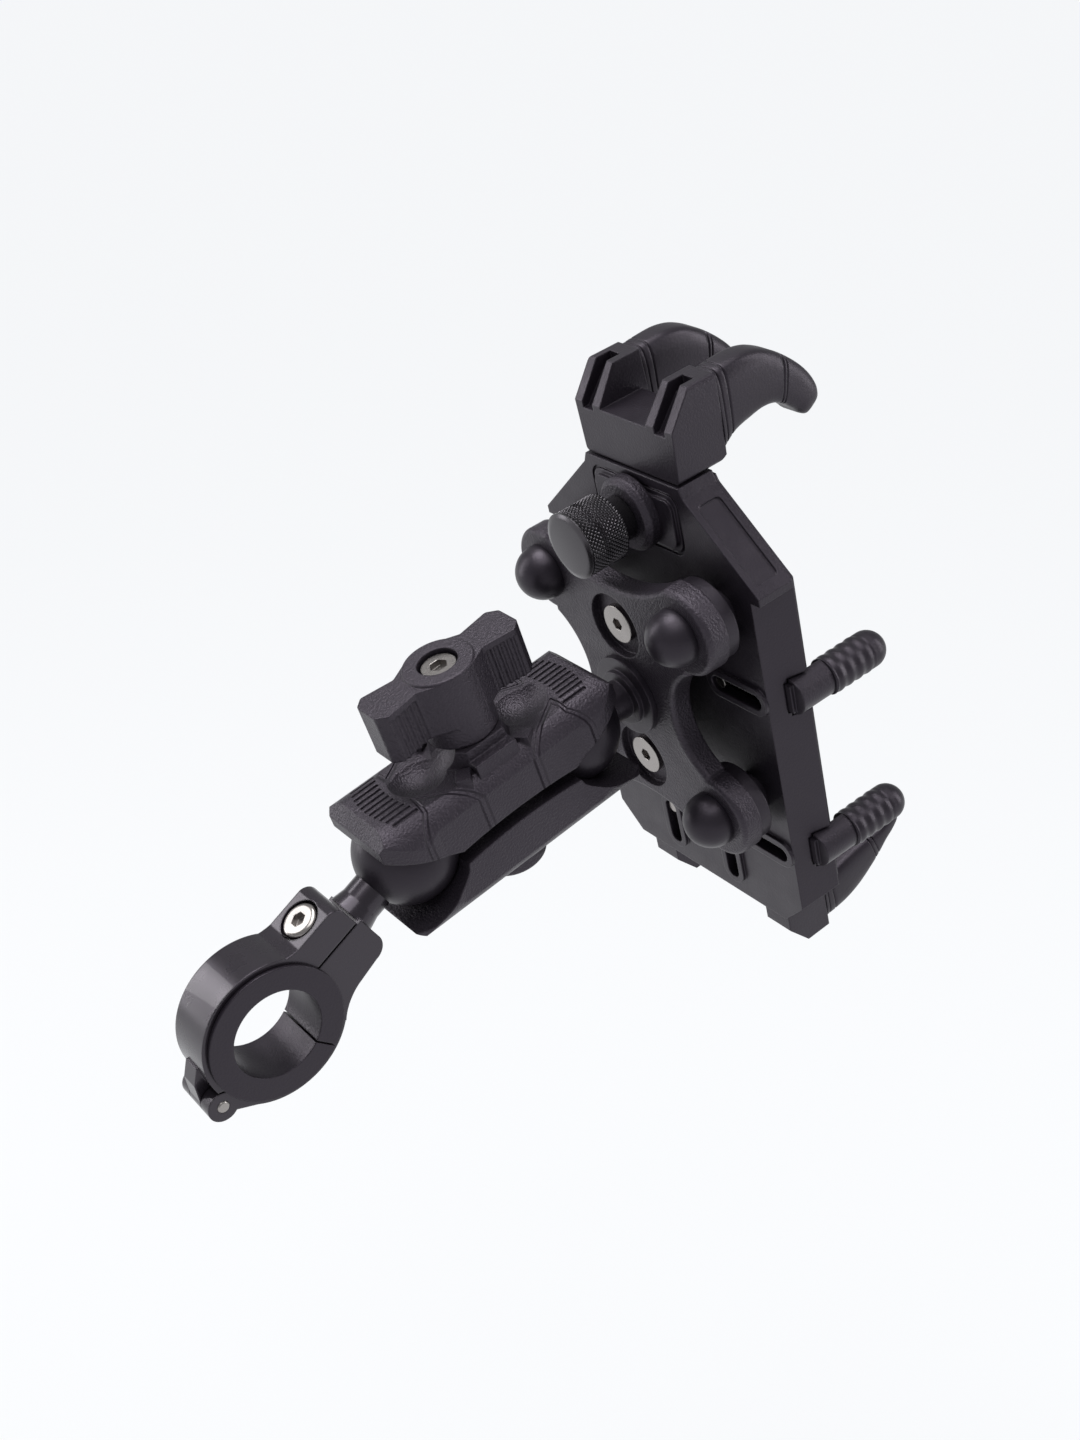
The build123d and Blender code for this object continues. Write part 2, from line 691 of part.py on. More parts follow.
with BuildPart() as back_shell:
    extrude(housing_outline(back_plane(housing_rear), shoulder_half, 0), amount=housing_rear - housing_front)
    # the long sides lean in towards the rear face
    for side in (-1, 1):
        with BuildSketch(level_plane(shoulder_z - 2)):
            with BuildLine():
                Polyline(
                    (side * rear_half, housing_rear),
                    (side * (body_half + 0.1), housing_front - 0.2),
                    (side * 48, housing_front),
                    (side * 48, housing_rear - 1),
                    close=True,
                )
            make_face()
        extrude(amount=-120, mode=Mode.SUBTRACT)
    extrude(
        housing_outline(back_plane(housing_rear + wall), rear_half, wall),
        amount=housing_rear - housing_front,
        mode=Mode.SUBTRACT,
    )
    # raised pad under the thumb screw, lipped guide slots and foot slots
    with BuildSketch(back_plane(housing_rear)):
        with Locations((0, thumb_z - 0.4)):
            RectangleRounded(28, 12.6, 2.5)
        for side in (-1, 1):
            for z in (slot_upper_z, slot_lower_z):
                with Locations((side * (guide_x + arm_travel / 2), z)):
                    SlotCenterToCenter(arm_travel + 0.6, 7.8)
            with Locations((side * foot_slot_x, foot_pin_z - foot_travel / 2)):
                SlotCenterToCenter(foot_travel + 0.6, 7.6, rotation=90)
    extrude(amount=0.9)
    with BuildSketch(back_plane(housing_rear - 1)):
        for side in (-1, 1):
            for z in (slot_upper_z, slot_lower_z):
                with Locations((side * (guide_x + arm_travel / 2), z)):
                    SlotCenterToCenter(arm_travel + 0.6, 4.2)
            with Locations((side * foot_slot_x, foot_pin_z - foot_travel / 2)):
                SlotCenterToCenter(foot_travel + 0.6, 4.2, rotation=90)
        with Locations((0, thumb_z)):
            Circle(2.6)
    extrude(amount=-4, mode=Mode.SUBTRACT)
    # windows for the side arms, the jaw rail and the feet
    for side in (-1, 1):
        for z in (slot_upper_z, slot_lower_z):
            with BuildSketch(level_plane(z - 5.3)):
                with Locations((side * 43.4, 22)):
                    Rectangle(12, 8.8)
            extrude(amount=10.6, mode=Mode.SUBTRACT)
            with BuildSketch(level_plane(z - 4.3)):
                with Locations((side * 38, 19.85)):
                    Rectangle(12, 6.1)
            extrude(amount=8.6, mode=Mode.SUBTRACT)
    with BuildSketch(level_plane(neck_top - 8)):
        with Locations((0, (rail_rear + rail_front) / 2)):
            Rectangle(2 * rail_half + 0.6, rail_front - rail_rear + 0.6)
    extrude(amount=10, mode=Mode.SUBTRACT)
    for side in (-1, 1):
        with BuildSketch(level_plane(bottom_z - 1)):
            with Locations((side * foot_x, 19)):
                Rectangle(2 * foot_half + 0.8, 9.4)
        extrude(amount=6, mode=Mode.SUBTRACT)
    # facets let into the shoulders
    for side in (-1, 1):
        shoulder_run = across * side * (shoulder_half - 18.1) + holder_up * (shoulder_z - 52.8)
        shoulder_face = across * side * (52.8 - shoulder_z) + holder_up * (shoulder_half - 18.1)
        shoulder_mid = across * side * (shoulder_half + 18.1) / 2 + holder_up * (shoulder_z + 52.8) / 2
        facet = Plane(
            origin=holder_centre + shoulder_mid + front * (housing_rear + housing_front) / 2,
            x_dir=shoulder_run.normalized(),
            z_dir=shoulder_face.normalized(),
        )
        with BuildSketch(facet):
            RectangleRounded(22.5, 6.6, 1.2)
        extrude(amount=-0.5, mode=Mode.SUBTRACT)
    # groove framing the raised pad
    with BuildSketch(back_plane(housing_rear)):
        with Locations((0, thumb_z - 0.4)):
            RectangleRounded(31.4, 16.4, 3.6)
            RectangleRounded(30.0, 15.0, 3.0, mode=Mode.SUBTRACT)
    extrude(amount=-0.5, mode=Mode.SUBTRACT)
    # screw posts
    with BuildSketch(back_plane(housing_rear + wall)):
        with Locations((-25, 36), (25, 36), (-32.3, -54.5), (32.3, -54.5)):
            Circle(3.0)
    extrude(amount=housing_rear + wall - housing_front)
    with BuildSketch(back_plane(housing_front)):
        with Locations((-25, 36), (25, 36), (-32.3, -54.5), (32.3, -54.5)):
            Circle(1.25)
    extrude(amount=6.5, mode=Mode.SUBTRACT)
    # pinion axle
    with BuildSketch(back_plane(housing_rear + wall)):
        with Locations((0, pinion_z)):
            Circle(2.2)
    extrude(amount=housing_rear + wall - housing_front + 0.6)

with BuildPart() as front_cover:
    extrude(housing_outline(back_plane(housing_front), shoulder_half, 2.2), amount=-cover_thick)
    with BuildSketch(back_plane(housing_front)):
        with Locations((-25, 36), (25, 36), (-32.3, -54.5), (32.3, -54.5)):
            Circle(1.5)
    extrude(amount=-cover_thick, mode=Mode.SUBTRACT)

with BuildPart() as cover_screws:
    for place in ((-25, 36), (25, 36), (-32.3, -54.5), (32.3, -54.5)):
        with BuildSketch(back_plane(housing_front + cover_thick)):
            with Locations(place):
                Circle(2.4)
        extrude(amount=-0.9)
        with BuildSketch(back_plane(housing_front + cover_thick)):
            with Locations(place):
                Circle(1.2)
        extrude(amount=7.5)

with BuildPart() as phone_pad:
    with BuildSketch(back_plane(housing_front + cover_thick)):
        with Locations((0, -8)):
            RectangleRounded(56, 96, 8)
        with Locations((-25, 36), (25, 36)):
            Circle(3.4, mode=Mode.SUBTRACT)
    extrude(amount=-pad_thick)

# ============================ thumb screw ============================
thumb_point = (0, thumb_z)

with BuildPart() as thumb_collar:
    with BuildSketch(back_plane(collar_rear)):
        with Locations(thumb_point):
            Circle(collar_radius - 1.2)
    with BuildSketch(back_plane(collar_rear + 1.4)):
        with Locations(thumb_point):
            Circle(collar_radius)
    loft()
    with BuildSketch(back_plane(collar_rear + 1.4)):
        with Locations(thumb_point):
            Circle(collar_radius)
    extrude(amount=collar_rear + 1.4 - housing_rear + 0.9)
    with BuildSketch(back_plane(collar_rear)):
        with Locations(thumb_point):
            Circle(2.6)
    extrude(amount=-8, mode=Mode.SUBTRACT)


with BuildPart() as thumb_screw:
    with BuildSketch(back_plane(knurl_front)):
        with Locations(thumb_point):
            Circle(thumb_radius)
    extrude(amount=knurl_front - thumb_rear)
    chamfer(thumb_screw.edges().filter_by(GeomType.CIRCLE), 0.5)
    with BuildSketch(back_plane(collar_rear - 0.05)):
        with Locations(thumb_point):
            Circle(neck_radius)
    extrude(amount=collar_rear - 0.05 - knurl_front)
    with BuildSketch(back_plane(rail_rear - 0.06)):
        with Locations(thumb_point):
            Circle(2.52)
    extrude(amount=rail_rear - collar_rear)

# ============================ top jaw ============================


def claw_profile(plane, points, inset):
    with BuildSketch(plane) as outline:
        with BuildLine():
            Polyline(*points, close=True)
        make_face()
        if inset:
            offset(amount=-inset, mode=Mode.REPLACE)
    return outline.sketch


upper_claw = (
    (jaw_front + 1.9, 57.6),
    (29.7, 58.6),
    (31.5, 61.2),
    (37, 62),
    (42, 63),
    (48, 60),
    (53, 56),
    (58, 58),
    (55, 66),
    (48, 73),
    (40.5, horn_top),
    (jaw_front + 1.9, horn_top),
)

with BuildPart() as jaw:
    with BuildSketch(side_plane(-horn_outer)):
        with BuildLine():
            Polyline(
                (jaw_rear, jaw_bottom),
                (jaw_front, jaw_bottom),
                (jaw_front + 1.9, jaw_bottom + 1.4),
                (jaw_front + 1.9, horn_top),
                (19.5, horn_top),
                (jaw_rear, jaw_floor + 0.6),
                close=True,
            )
        make_face()
    extrude(amount=2 * horn_outer)
    with BuildSketch(back_plane(0)):
        with BuildLine():
            Polyline(
                (-neck_half, jaw_bottom - 1),
                (neck_half, jaw_bottom - 1),
                (horn_outer, jaw_floor),
                (horn_outer, horn_top + 1),
                (-horn_outer, horn_top + 1),
                (-horn_outer, jaw_floor),
                close=True,
            )
        make_face()
    extrude(amount=-40, mode=Mode.INTERSECT)
    fillet(jaw.edges().filter_by(Axis(origin=(0, 0, 0), direction=front)), 1.2)
    with BuildSketch(back_plane(0)):
        with BuildLine():
            Polyline(
                (-horn_inner, jaw_floor),
                (horn_inner, jaw_floor),
                (horn_inner + 1.0, horn_top + 4),
                (-horn_inner - 1.0, horn_top + 4),
                close=True,
            )
        make_face()
    extrude(amount=-40, mode=Mode.SUBTRACT)
    with BuildSketch(level_plane(jaw_bottom - 1)):
        with Locations((0, jaw_front + 4)):
            Rectangle(2 * horn_inner, 8)
    extrude(amount=30, mode=Mode.SUBTRACT)
    for side in (-1, 1):
        with BuildSketch(side_plane(side * claw_x - 1.9)):
            with BuildLine():
                Polyline(
                    (jaw_rear - 2, jaw_floor - 1.0),
                    (jaw_rear + 1.6, jaw_floor - 1.0),
                    (21.0, horn_top - 3.2),
                    (23.6, horn_top - 3.2),
                    (23.6, horn_top + 3),
                    (jaw_rear - 2, horn_top + 3),
                    close=True,
                )
            make_face()
        extrude(amount=3.8, mode=Mode.SUBTRACT)
        extrude(
            claw_profile(side_plane(side * claw_x - claw_half + 2), upper_claw, 2.2),
            amount=2 * claw_half - 4,
        )
        with BuildSketch(side_plane(side * claw_x - claw_half + 2)):
            with Locations((jaw_front + 3, 68)):
                Rectangle(5, 10)
        extrude(amount=2 * claw_half - 4)
    with BuildSketch(level_plane(jaw_bottom + 3)):
        with Locations((0, (rail_rear + rail_front) / 2)):
            Rectangle(2 * rail_half, rail_front - rail_rear)
    extrude(amount=rail_bottom - jaw_bottom - 3)

with BuildPart() as jaw_claw_covers:
    for side in (-1, 1):
        extrude(
            claw_profile(side_plane(side * claw_x - claw_half), upper_claw, 0),
            amount=2 * claw_half,
        )
    fillet(jaw_claw_covers.edges().filter_by(Axis.X), 0.5)
    for side in (-1, 1):
        extrude(
            claw_profile(side_plane(side * claw_x - claw_half + 1.98), upper_claw, 2.18),
            amount=2 * claw_half - 3.96,
            mode=Mode.SUBTRACT,
        )
        with BuildSketch(side_plane(side * claw_x - claw_half + 1.98)):
            with Locations((jaw_front + 3, 68)):
                Rectangle(5.04, 10.04)
        extrude(amount=2 * claw_half - 3.96, mode=Mode.SUBTRACT)

# ============================ side arms ============================
carriage_depth = carriage_front - carriage_rear
post_places = (slot_upper_z, slot_lower_z)


def side_carriage(side):
    with BuildPart() as carriage:
        with BuildSketch(back_plane(carriage_rear)):
            for z in post_places:
                with Locations((side * 26.5, z)):
                    Rectangle(26, 7.6)
            with Locations((side * 18.6, (slot_upper_z + slot_lower_z) / 2)):
                Rectangle(4, slot_upper_z - slot_lower_z)
            with Locations((side * 0.5, pinion_z + side * (pinion_radius + 2.6))):
                Rectangle(32.8, 2.7)
        extrude(amount=-carriage_depth)
        with BuildSketch(back_plane(carriage_rear)):
            for count in range(-5, 5):
                tooth_x = (count + 0.5) * tooth_pitch
                with Locations((tooth_x, pinion_z + side * pinion_radius)):
                    Polygon(
                        (-0.26, -0.9 * side),
                        (0.26, -0.9 * side),
                        (1.0, 1.3 * side),
                        (-1.0, 1.3 * side),
                    )
        extrude(amount=-carriage_depth)
        for z in post_places:
            with BuildSketch(back_plane(side_post_rear)):
                with Locations((side * side_flat_x, z)):
                    Circle(4.8)
                with Locations((side * (side_flat_x - 5), z)):
                    Rectangle(10, 12, mode=Mode.SUBTRACT)
            extrude(amount=side_post_rear - sleeve_rear)
            with BuildSketch(back_plane(sleeve_rear - 1.5)):
                with Locations((side * side_post_x, z)):
                    Circle(3.3)
            extrude(amount=sleeve_rear - 1.5 - sleeve_centre)
            with BuildSketch(back_plane(carriage_rear)):
                with Locations((side * guide_x, z)):
                    Circle(guide_radius)
            extrude(amount=-carriage_depth, mode=Mode.SUBTRACT)
    return carriage


def side_sleeves(side):
    with BuildPart() as sleeves:
        for z in post_places:
            tip = back_plane(sleeve_centre).from_local_coords((side * side_post_x, z, 0))
            with BuildSketch(back_plane(sleeve_rear + 0.02)):
                with Locations((side * side_post_x, z)):
                    Circle(sleeve_radius)
            extrude(amount=sleeve_rear + 0.02 - sleeve_centre)
            with Locations(tip):
                Sphere(sleeve_radius)
            with BuildSketch(back_plane(sleeve_rear)):
                with Locations((side * side_post_x, z)):
                    Circle(3.32)
            extrude(amount=sleeve_rear - sleeve_centre - 0.02, mode=Mode.SUBTRACT)
    return sleeves


def guide_pins(side):
    with BuildPart() as pins:
        with BuildSketch(back_plane(housing_rear - 0.2)):
            for z in post_places:
                with Locations((side * guide_x, z)):
                    Circle(guide_radius)
        extrude(amount=housing_rear - 0.2 - carriage_front)
    return pins


right_carriage = side_carriage(1)
left_carriage = side_carriage(-1)
right_sleeves = side_sleeves(1)
left_sleeves = side_sleeves(-1)
right_guide_pins = guide_pins(1)
left_guide_pins = guide_pins(-1)

with BuildPart() as pinion:
    with BuildSketch(back_plane(carriage_rear + 0.1)):
        with Locations((0, pinion_z)):
            Circle(4.6)
        for count in range(12):
            with Locations(Location((0, pinion_z, 0), (0, 0, 30 * count))):
                Polygon((-0.85, 4.2), (0.85, 4.2), (0.3, 6.8), (-0.3, 6.8))
        with Locations((0, pinion_z)):
            Circle(2.27, mode=Mode.SUBTRACT)
    extrude(amount=-carriage_depth + 0.2)

# ============================ bottom feet ============================
lower_claw = (
    (27.6, -79),
    (36, -78),
    (45, -73.5),
    (51, -67.6),
    (56, -64.5),
    (56.8, -60.4),
    (54.5, -60.2),
    (50.5, -62.6),
    (33, -65.6),
    (27.6, -67.2),
)

with BuildPart() as foot_carriage:
    with BuildSketch(back_plane(carriage_rear)):
        with Locations((0, -51.4)):
            Rectangle(2 * (foot_x + foot_half), 7.6)
    extrude(amount=-carriage_depth)
    for side in (-1, 1):
        with BuildSketch(side_plane(side * foot_x - foot_half)):
            with BuildLine():
                Polyline(
                    (14.6, -50),
                    (14.6, -74),
                    (20, -80.6),
                    (27.5, -80.4),
                    (27.5, -67.5),
                    (22.2, -67.5),
                    (22.2, -50),
                    close=True,
                )
            make_face()
        extrude(amount=2 * foot_half)
        extrude(
            claw_profile(side_plane(side * foot_x - foot_half + 2), lower_claw, 2.2),
            amount=2 * foot_half - 4,
        )
        with BuildSketch(side_plane(side * foot_x - foot_half + 2)):
            with Locations((29, -73)):
                Rectangle(5, 7)
        extrude(amount=2 * foot_half - 4)
        with BuildSketch(back_plane(carriage_rear)):
            with Locations((side * foot_slot_x, foot_pin_z)):
                Circle(guide_radius)
        extrude(amount=-carriage_depth, mode=Mode.SUBTRACT)

with BuildPart() as foot_covers:
    for side in (-1, 1):
        extrude(
            claw_profile(side_plane(side * foot_x - foot_half - 0.2), lower_claw, 0),
            amount=2 * foot_half + 0.4,
        )
    fillet(foot_covers.edges().filter_by(Axis.X), 0.4)
    for side in (-1, 1):
        extrude(
            claw_profile(side_plane(side * foot_x - foot_half + 1.98), lower_claw, 2.18),
            amount=2 * foot_half - 3.96,
            mode=Mode.SUBTRACT,
        )
        with BuildSketch(side_plane(side * foot_x - foot_half + 1.98)):
            with Locations((29, -73)):
                Rectangle(5.04, 7.04)
        extrude(amount=2 * foot_half - 3.96, mode=Mode.SUBTRACT)

with BuildPart() as foot_pins:
    with BuildSketch(back_plane(housing_rear - 0.2)):
        with Locations((-foot_slot_x, foot_pin_z), (foot_slot_x, foot_pin_z)):
            Circle(guide_radius)
    extrude(amount=housing_rear - 0.2 - carriage_front)

# ============================ one file per piece ============================
pieces = {
    "clamp_base": clamp_base,
    "clamp_strap": clamp_strap,
    "hinge_pin": hinge_pin,
    "clamp_bolt": clamp_bolt,
    "reducing_bushing": reducing_bushing,
    "lower_ball_cover": lower_ball_cover,
    "upper_ball_cover": upper_ball_cover,
    "upper_shell": upper_shell,
    "lower_shell": lower_shell,
    "arm_nut": arm_nut,
    "shell_spring": shell_spring,
    "thrust_washer": thrust_washer,
    "wing_knob": wing_knob,
    "arm_bolt": arm_bolt,
    "upper_ball_stud": upper_ball_stud,
    "damper_plate": damper_plate,
    "nut_plate": nut_plate,
    "plate_screws": plate_screws,
    "isolators": isolators,
    "back_shell": back_shell,
    "front_cover": front_cover,
    "cover_screws": cover_screws,
    "phone_pad": phone_pad,
    "thumb_collar": thumb_collar,
    "thumb_screw": thumb_screw,
    "jaw": jaw,
    "jaw_claw_covers": jaw_claw_covers,
    "right_carriage": right_carriage,
    "left_carriage": left_carriage,
    "right_sleeves": right_sleeves,
    "left_sleeves": left_sleeves,
    "right_guide_pins": right_guide_pins,
    "left_guide_pins": left_guide_pins,
    "pinion": pinion,
    "foot_carriage": foot_carriage,
    "foot_covers": foot_covers,
    "foot_pins": foot_pins,
}
for name, piece in pieces.items():
    piece.part.label = name
    export_step(piece.part, "parts/" + name + ".step")
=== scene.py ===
import bpy
import math
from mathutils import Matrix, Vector


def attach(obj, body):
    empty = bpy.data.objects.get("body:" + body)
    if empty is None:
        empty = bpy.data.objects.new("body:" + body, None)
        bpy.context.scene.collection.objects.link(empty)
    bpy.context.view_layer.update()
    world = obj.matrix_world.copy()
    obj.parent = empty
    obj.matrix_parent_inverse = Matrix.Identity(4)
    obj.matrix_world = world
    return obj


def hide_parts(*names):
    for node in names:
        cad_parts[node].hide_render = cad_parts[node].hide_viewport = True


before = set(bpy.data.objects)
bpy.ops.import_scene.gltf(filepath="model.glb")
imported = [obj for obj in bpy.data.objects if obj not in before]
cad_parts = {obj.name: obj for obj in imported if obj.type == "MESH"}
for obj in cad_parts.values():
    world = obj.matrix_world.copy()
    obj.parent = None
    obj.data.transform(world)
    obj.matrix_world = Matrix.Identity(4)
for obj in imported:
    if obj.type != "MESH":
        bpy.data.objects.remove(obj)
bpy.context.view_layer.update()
MM = 0.001

# --- the three leaning directions of the part ---
across = Vector((1, 0, 0))


def lean(angle):
    a = math.radians(angle)
    return Vector((0, math.cos(a), math.sin(a)))


def rise(angle):
    a = math.radians(angle)
    return Vector((0, -math.sin(a), math.cos(a)))


HOLDER_TILT = 14.8
post_dir = lean(37.6)
arm_dir = lean(20.1)
front, holder_up = lean(HOLDER_TILT), rise(HOLDER_TILT)
lower_ball = post_dir * 0.0499
upper_ball = lower_ball + arm_dir * 0.0496
arm_centre = lower_ball + arm_dir * 0.0248
holder_centre = upper_ball + front * 0.0204


def hold(x, y, z):
    """A point of the holder: x across, y forward and z up its back, in millimetres."""
    return holder_centre + (across * x + front * y + holder_up * z) * MM


# --- materials ---
def vector_math(tree, operation, first, second=None):
    node = tree.nodes.new("ShaderNodeVectorMath")
    node.operation = operation
    for k, value in enumerate((first, second)):
        if isinstance(value, bpy.types.NodeSocket):
            tree.links.new(value, node.inputs[k])
        elif value is not None:
            node.inputs[k].default_value = value
    return node.outputs["Value" if operation in ("DOT_PRODUCT", "LENGTH") else "Vector"]


def number_math(tree, operation, first, second):
    node = tree.nodes.new("ShaderNodeMath")
    node.operation = operation
    for k, value in enumerate((first, second)):
        if isinstance(value, bpy.types.NodeSocket):
            tree.links.new(value, node.inputs[k])
        else:
            node.inputs[k].default_value = value
    return node.outputs["Value"]


def fold_height(tree, coords, folds):
    """Height of pressed lines on the arm's back; each runs between two (along, across) places."""
    offset = vector_math(tree, "SUBTRACT", coords.outputs["Object"], tuple(arm_centre))
    place = tree.nodes.new("ShaderNodeCombineXYZ")
    tree.links.new(vector_math(tree, "DOT_PRODUCT", offset, tuple(arm_dir)), place.inputs["X"])
    tree.links.new(vector_math(tree, "DOT_PRODUCT", offset, (1, 0, 0)), place.inputs["Y"])
    place = vector_math(tree, "ABSOLUTE", place.outputs["Vector"])
    nearest = 1.0
    for start, end in folds:
        start, end = Vector((*start, 0)) * MM, Vector((*end, 0)) * MM
        line = end - start
        local = vector_math(tree, "SUBTRACT", place, tuple(start))
        share = vector_math(tree, "DOT_PRODUCT", local, tuple(line / line.length_squared))
        share = number_math(tree, "MINIMUM", number_math(tree, "MAXIMUM", share, 0.0), 1.0)
        step = vector_math(tree, "MULTIPLY", tuple(line), share)
        away = vector_math(tree, "LENGTH", vector_math(tree, "SUBTRACT", local, step))
        nearest = number_math(tree, "MINIMUM", away, nearest)
    fold = tree.nodes.new("ShaderNodeMapRange")
    fold.interpolation_type = "SMOOTHSTEP"
    fold.inputs["From Min"].default_value = 0.0002
    fold.inputs["From Max"].default_value = 0.0007
    tree.links.new(nearest, fold.inputs["Value"])
    return fold.outputs["Result"]


def surface(name, color, rough, metallic=0.0, grain=0.0, grain_scale=900.0, bevel=0.0,
            mottle=0.0, coat=0.0, specular=0.5, folds=()):
    mat = bpy.data.materials.new(name)
    mat.use_nodes = True
    tree = mat.node_tree
    bsdf = tree.nodes["Principled BSDF"]
    bsdf.inputs["Base Color"].default_value = (*color, 1)
    bsdf.inputs["Roughness"].default_value = rough
    bsdf.inputs["Metallic"].default_value = metallic
    bsdf.inputs["Specular IOR Level"].default_value = specular
    bsdf.inputs["Coat Weight"].default_value = coat
    if not metallic:
        bsdf.inputs["Specular Tint"].default_value = (0.95, 0.84, 1.0, 1)
    coords = tree.nodes.new("ShaderNodeTexCoord")
    normal = None
    if bevel:
        edge = tree.nodes.new("ShaderNodeBevel")
        edge.samples = 6
        edge.inputs["Radius"].default_value = bevel
        normal = edge.outputs["Normal"]
    if grain:
        noise = tree.nodes.new("ShaderNodeTexNoise")
        noise.inputs["Scale"].default_value = grain_scale
        noise.inputs["Detail"].default_value = 3
        tree.links.new(coords.outputs["Object"], noise.inputs["Vector"])
        bump = tree.nodes.new("ShaderNodeBump")
        bump.inputs["Strength"].default_value = grain
        bump.inputs["Distance"].default_value = 0.0003
        tree.links.new(noise.outputs["Fac"], bump.inputs["Height"])
        if normal:
            tree.links.new(normal, bump.inputs["Normal"])
        normal = bump.outputs["Normal"]
    if folds:
        relief = tree.nodes.new("ShaderNodeBump")
        relief.inputs["Strength"].default_value = 0.9
        relief.inputs["Distance"].default_value = 0.0007
        tree.links.new(fold_height(tree, coords, folds), relief.inputs["Height"])
        tree.links.new(normal, relief.inputs["Normal"])
        normal = relief.outputs["Normal"]
    if normal:
        tree.links.new(normal, bsdf.inputs["Normal"])
    if mottle:
        patches = tree.nodes.new("ShaderNodeTexNoise")
        patches.inputs["Scale"].default_value = 140
        patches.inputs["Detail"].default_value = 5
        tree.links.new(coords.outputs["Object"], patches.inputs["Vector"])
        spread = tree.nodes.new("ShaderNodeMapRange")
        spread.inputs["From Min"].default_value = 0.3
        spread.inputs["From Max"].default_value = 0.7
        spread.inputs["To Min"].default_value = rough - mottle
        spread.inputs["To Max"].default_value = rough + mottle
        tree.links.new(patches.outputs["Fac"], spread.inputs["Value"])
        tree.links.new(spread.outputs["Result"], bsdf.inputs["Roughness"])
    return mat


filled = surface("filled_plastic", (0.0125, 0.0103, 0.0142), 0.42, grain=0.8, grain_scale=1700,
                 bevel=0.0006, mottle=0.05, specular=0.46)
folded = surface("folded_plastic", (0.0125, 0.0103, 0.0142), 0.42, grain=0.8, grain_scale=1700,
                 bevel=0.0006, mottle=0.05, specular=0.46,
                 folds=(((20.3, 5.8), (20.8, 11)),
                        ((20.8, 11), (24.6, 15)),
                        ((20.3, 5.8), (7.5, 14.5))))
smooth = surface("smooth_plastic", (0.0098, 0.0080, 0.0112), 0.36, grain=0.2, grain_scale=1900,
                 bevel=0.0005, mottle=0.05, specular=0.40)
rubber = surface("rubber", (0.0085, 0.0070, 0.0098), 0.40, grain=0.12, grain_scale=1300,
                 bevel=0.0004, mottle=0.06, specular=0.38)
anodised = surface("anodised", (0.0085, 0.0070, 0.0094), 0.28, grain=0.03, grain_scale=1200,
                   bevel=0.0006, mottle=0.03, specular=0.5, coat=0.2)
polished = surface("polished_black", (0.062, 0.058, 0.064), 0.24, metallic=0.9, mottle=0.04)
steel = surface("stainless", (0.32, 0.30, 0.29), 0.26, metallic=1.0, bevel=0.0003, mottle=0.06)
spring_steel = surface("spring_steel", (0.35, 0.35, 0.36), 0.3, metallic=1.0)
acetal = surface("acetal", (0.5, 0.5, 0.48), 0.45, bevel=0.0002)

looks = {
    "clamp_base": anodised,
    "clamp_strap": anodised,
    "hinge_pin": steel,
    "clamp_bolt": steel,
    "reducing_bushing": smooth,
    "lower_ball_cover": rubber,
    "upper_ball_cover": rubber,
    "upper_shell": folded,
    "lower_shell": filled,
    "arm_nut": steel,
    "shell_spring": spring_steel,
    "thrust_washer": steel,
    "wing_knob": filled,
    "arm_bolt": steel,
    "upper_ball_stud": smooth,
    "damper_plate": filled,
    "nut_plate": steel,
    "plate_screws": steel,
    "isolators": rubber,
    "back_shell": smooth,
    "front_cover": smooth,
    "cover_screws": steel,
    "phone_pad": rubber,
    "thumb_collar": filled,
    "thumb_screw": anodised,
    "jaw": smooth,
    "jaw_claw_covers": rubber,
    "right_carriage": smooth,
    "left_carriage": smooth,
    "right_sleeves": rubber,
    "left_sleeves": rubber,
    "right_guide_pins": steel,
    "left_guide_pins": steel,
    "pinion": acetal,
    "foot_carriage": smooth,
    "foot_covers": rubber,
    "foot_pins": steel,
}
for node, mat in looks.items():
    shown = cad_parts[node]
    shown.data.materials.clear()
    shown.data.materials.append(mat)


def finish_piece(name, mesh, mat, body, smooth_angle=35):
    """Makes a piece from a finished mesh in the row frame and lets it ride on a body."""
    obj = bpy.data.objects.new(name, mesh)
    bpy.context.scene.collection.objects.link(obj)
    mesh.materials.append(mat)
    for poly in mesh.polygons:
        poly.use_smooth = True
    mesh.set_sharp_from_angle(angle=math.radians(smooth_angle))
    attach(obj, body)
    return obj


def grid_mesh(name, rows):
    """A closed skin over rings of points; each ring has the same number of points."""
    verts = [p for ring in rows for p in ring]
    count = len(rows[0])
    faces = []
    for r in range(len(rows) - 1):
        for k in range(count):
            j = (k + 1) % count
            faces.append((r * count + k, r * count + j, (r + 1) * count + j, (r + 1) * count + k))
    faces.append(tuple(reversed(range(count))))
    faces.append(tuple((len(rows) - 1) * count + k for k in range(count)))
    mesh = bpy.data.meshes.new(name)
    mesh.from_pydata([tuple(v) for v in verts], [], faces)
    mesh.update()
    return mesh


def turned(name, origin, axis, profile, steps=96, shape=None):
    """A turned skin about an axis; profile is (distance, radius) in millimetres."""
    side = across.cross(axis).normalized()
    rows = []
    for along, radius in profile:
        ring = []
        for k in range(steps):
            turn = 2 * math.pi * k / steps
            r = shape(along, radius, turn) if shape else radius
            ring.append(origin + axis * along * MM
                        + (across * math.cos(turn) + side * math.sin(turn)) * r * MM)
        rows.append(ring)
    return grid_mesh(name, rows)


# --- thumb screw with a diamond knurl ---
KNURL_DEPTH = 0.55
KNURL_PER_MM = 0.85
KNURL_FROM, KNURL_TO = -7.5, 2.7


